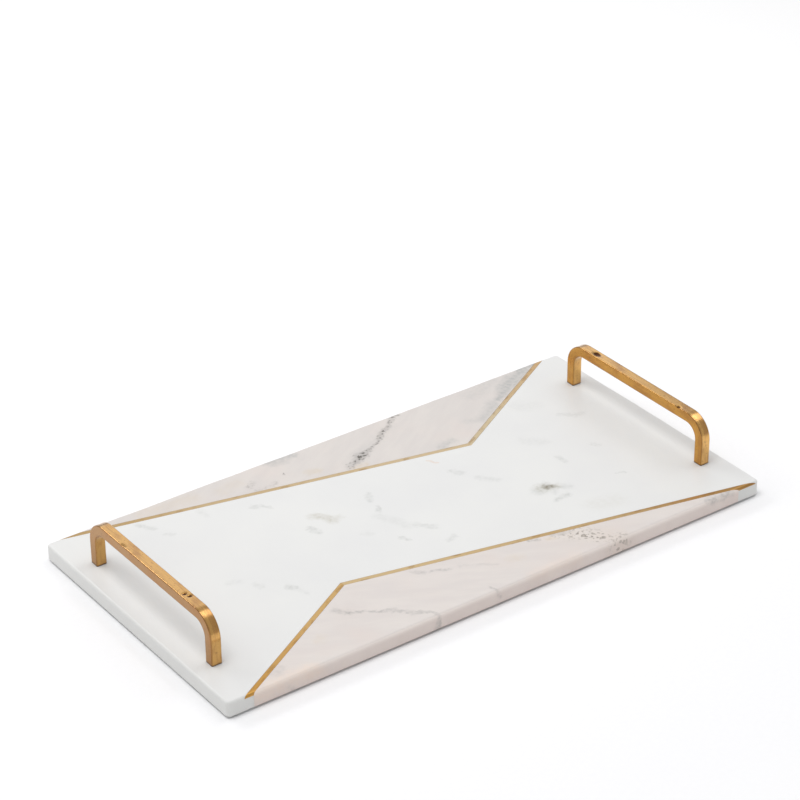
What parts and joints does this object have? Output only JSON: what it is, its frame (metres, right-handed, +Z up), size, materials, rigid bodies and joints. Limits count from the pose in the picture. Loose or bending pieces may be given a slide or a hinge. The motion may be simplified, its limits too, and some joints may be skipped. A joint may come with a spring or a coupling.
{
  "type": "marble vanity tray",
  "caption": "Rectangular vanity tray: white and pink marble slab in a zigzag pattern, flush brass inlay strips, bent brass handles at both ends, rubber feet.",
  "frame": {"origin": "on the surface the tray stands on, under the middle of the slab", "axes": "+X along the tray towards the right handle, +Y across it towards the back, +Z up"},
  "size_m": [0.4, 0.205, 0.044],
  "materials": {
    "white_marble": "honed white marble with faint grey veins",
    "pink_marble": "honed pale pink marble with grey veins",
    "inlay_brass": "flat brass strip, ground flush and slightly dulled",
    "handle_brass": "satin hand-finished brass with darker mottling",
    "fastener_steel": "zinc plated steel",
    "foot_rubber": "matt black rubber"
  },
  "bodies": {
    "root": {"white_marble_centre": "white_marble", "pink_marble_front": "pink_marble", "pink_marble_back": "pink_marble", "inlay_front_long": "inlay_brass", "inlay_front_short": "inlay_brass", "inlay_back_long": "inlay_brass", "inlay_back_short": "inlay_brass", "handle_left": "handle_brass", "handle_right": "handle_brass", "screw_left_front": "fastener_steel", "screw_left_back": "fastener_steel", "screw_right_front": "fastener_steel", "screw_right_back": "fastener_steel", "washer_left_front": "fastener_steel", "washer_left_back": "fastener_steel", "washer_right_front": "fastener_steel", "washer_right_back": "fastener_steel", "foot_left_front": "foot_rubber", "foot_left_back": "foot_rubber", "foot_right_front": "foot_rubber", "foot_right_back": "foot_rubber"}
  },
  "joints": []
}
